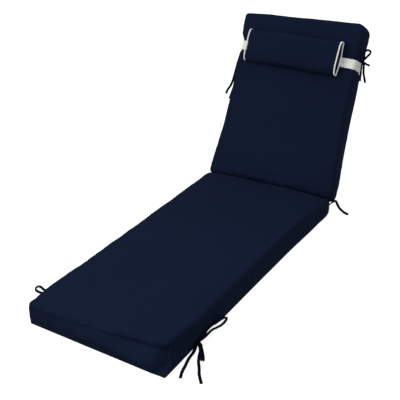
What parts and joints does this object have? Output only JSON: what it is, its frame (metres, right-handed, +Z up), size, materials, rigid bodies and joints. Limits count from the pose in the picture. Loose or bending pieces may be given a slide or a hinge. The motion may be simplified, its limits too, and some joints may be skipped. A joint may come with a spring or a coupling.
{
  "type": "chaise lounge cushion",
  "caption": "Outdoor chaise lounge cushion bent at its hinge seam, with a head pillow on an elastic strap and fabric ties along its sides.",
  "frame": {"origin": "on the surface the cushion lies on, under the middle of its outline without the ties", "axes": "+X to the right seen from the foot end, +Y from the foot end to the head end, +Z up"},
  "size_m": [0.7907, 1.552, 0.696],
  "materials": {
    "navy_cloth": "matte woven outdoor polyester, navy",
    "navy_tie": "matte flat woven tie, darker navy",
    "white_piping": "white cord piping, cloth covered",
    "white_elastic": "white ribbed elastic webbing"
  },
  "bodies": {
    "root": {"cushion": "navy_cloth", "head_pillow": "navy_cloth", "pillow_piping_right": "white_piping", "pillow_piping_left": "white_piping", "pillow_strap": "white_elastic", "tie_foot_right_knot": "navy_tie", "tie_foot_right_front": "navy_tie", "tie_foot_right_outer": "navy_tie", "tie_foot_left_knot": "navy_tie", "tie_foot_left_front": "navy_tie", "tie_foot_left_rear": "navy_tie", "tie_hinge_right_knot": "navy_tie", "tie_hinge_right_front": "navy_tie", "tie_hinge_right_rear": "navy_tie", "tie_hinge_left_knot": "navy_tie", "tie_hinge_left_front": "navy_tie", "tie_hinge_left_rear": "navy_tie", "tie_head_right_knot": "navy_tie", "tie_head_right_outer": "navy_tie", "tie_head_right_rear": "navy_tie", "tie_head_left_knot": "navy_tie", "tie_head_left_front": "navy_tie", "tie_head_left_rear": "navy_tie"}
  },
  "joints": []
}
